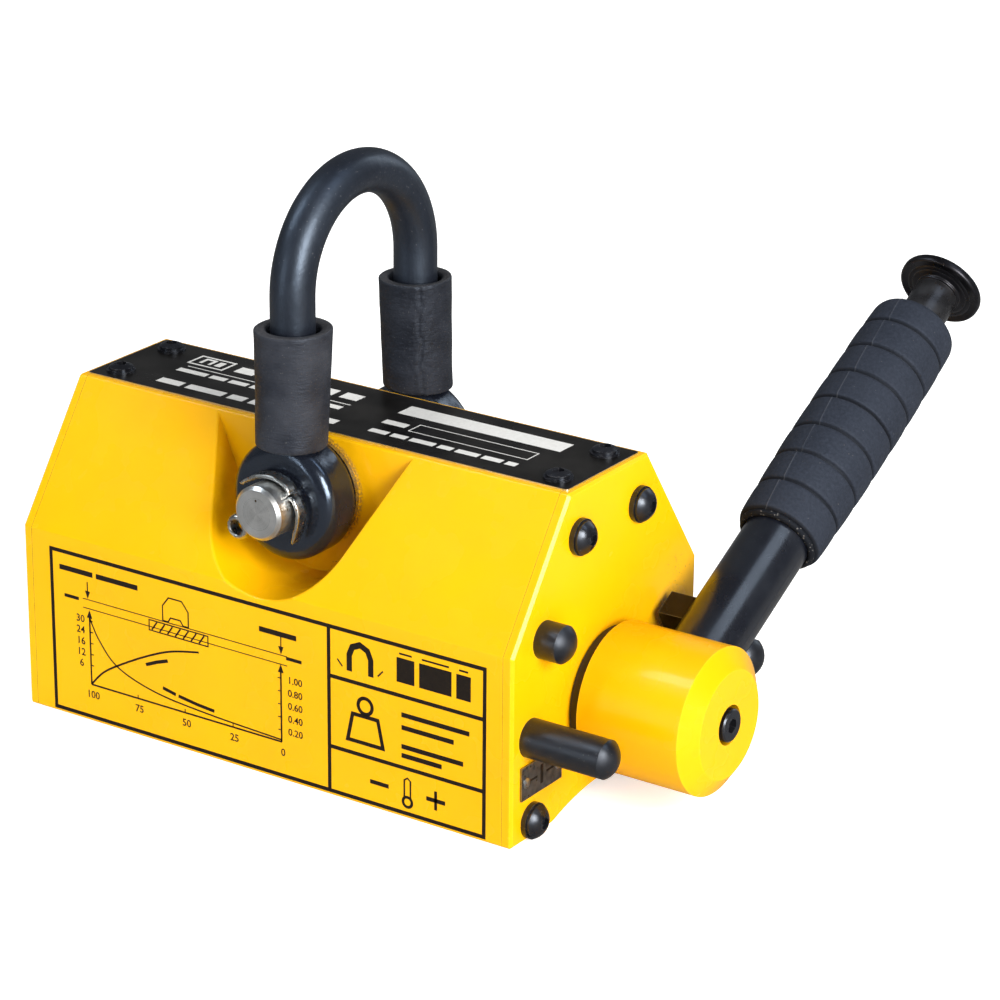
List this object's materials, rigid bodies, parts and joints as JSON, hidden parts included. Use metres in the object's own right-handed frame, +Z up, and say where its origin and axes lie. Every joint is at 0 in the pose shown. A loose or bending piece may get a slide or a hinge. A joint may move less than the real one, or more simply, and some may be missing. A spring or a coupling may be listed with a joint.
{
  "type": "lifting magnet",
  "caption": "Hand-operated permanent lifting magnet: yellow block body with a lifting shackle on top and a side lever that turns the magnet rotor on and off.",
  "frame": {"origin": "on the plane of the pole faces, under the middle of the body", "axes": "+X along the body towards the lever hub, +Y to the rear, +Z up from the pole faces to the shackle"},
  "size_m": [0.2737, 0.2585, 0.217],
  "materials": {
    "yellow_enamel": "glossy hard enamel over steel",
    "brass_bar": "machined brass",
    "aluminium_bar": "machined aluminium",
    "magnet_nickel": "nickel plated magnet",
    "black_oxide": "blackened steel with a light oil sheen",
    "bronze_bush": "sintered bronze",
    "marker_steel": "etched grey metal marker",
    "zinc_steel": "zinc plated steel",
    "black_plate": "black anodised plate with white print",
    "turned_steel": "bright turned steel",
    "pole_steel": "ground steel",
    "black_gloss": "gloss black paint on the lever tube",
    "grip_rubber": "matt moulded rubber",
    "spring_steel": "spring steel wire",
    "forged_black": "black forged steel",
    "hose_rubber": "matt dusty rubber hose"
  },
  "bodies": {
    "housing": {"front_pole": "yellow_enamel", "rear_pole": "yellow_enamel", "bottom_divider": "brass_bar", "top_bridge": "aluminium_bar", "stator_magnets": "magnet_nickel", "left_end_plate": "yellow_enamel", "right_end_plate": "yellow_enamel", "end_plate_screws": "black_oxide", "end_plate_washers": "black_oxide", "drive_bearing_carrier": "aluminium_bar", "idle_bearing_carrier": "aluminium_bar", "drive_bush": "bronze_bush", "idle_bush": "bronze_bush", "catch_pin": "black_oxide", "on_stop_pin": "black_oxide", "off_stop_pin": "black_oxide", "on_marker_plate": "marker_steel", "off_marker_plate": "marker_steel", "marker_rivets": "zinc_steel", "top_plate": "black_plate", "top_plate_screws": "black_oxide", "shackle_pin": "turned_steel", "shackle_washers": "zinc_steel", "front_split_pin": "zinc_steel", "rear_split_pin": "zinc_steel"},
    "lever": {"rotor_upper_segment": "pole_steel", "rotor_lower_segment": "pole_steel", "rotor_magnets": "magnet_nickel", "rotor_side_bars": "brass_bar", "rotor_screws": "black_oxide", "drive_shaft": "pole_steel", "idle_shaft": "pole_steel", "hub_spacer": "black_oxide", "hub": "yellow_enamel", "hub_key": "pole_steel", "hub_washer": "black_oxide", "hub_screw": "black_oxide", "lever_grub_screw": "black_oxide", "lever_tube": "black_gloss", "grip": "grip_rubber", "guide_bush": "bronze_bush", "spring_seat": "pole_steel", "return_spring": "spring_steel"},
    "button": {"plunger": "black_oxide", "knob": "black_oxide", "latch_key": "black_oxide", "latch_screw": "zinc_steel"},
    "shackle": {"shackle": "forged_black", "front_sleeve": "hose_rubber", "rear_sleeve": "hose_rubber"}
  },
  "joints": [
    {"name": "lever_turn", "type": "hinge", "parent": "housing", "child": "lever", "pos_m": [0, 0, 0.0385], "axis": [1, 0, 0], "range_deg": [0, 127.24]},
    {"name": "button_press", "type": "slide", "parent": "lever", "child": "button", "axis": [0, -0.8804, -0.4742], "range_m": [0, 0.006], "stiffness_N_per_m": 1500, "springref_m": -0.008, "deforming": ["return_spring"]},
    {"name": "shackle_swing", "type": "hinge", "parent": "housing", "child": "shackle", "pos_m": [0, 0, 0.0993], "axis": [0, 1, 0], "range_deg": [-45, 45]}
  ]
}
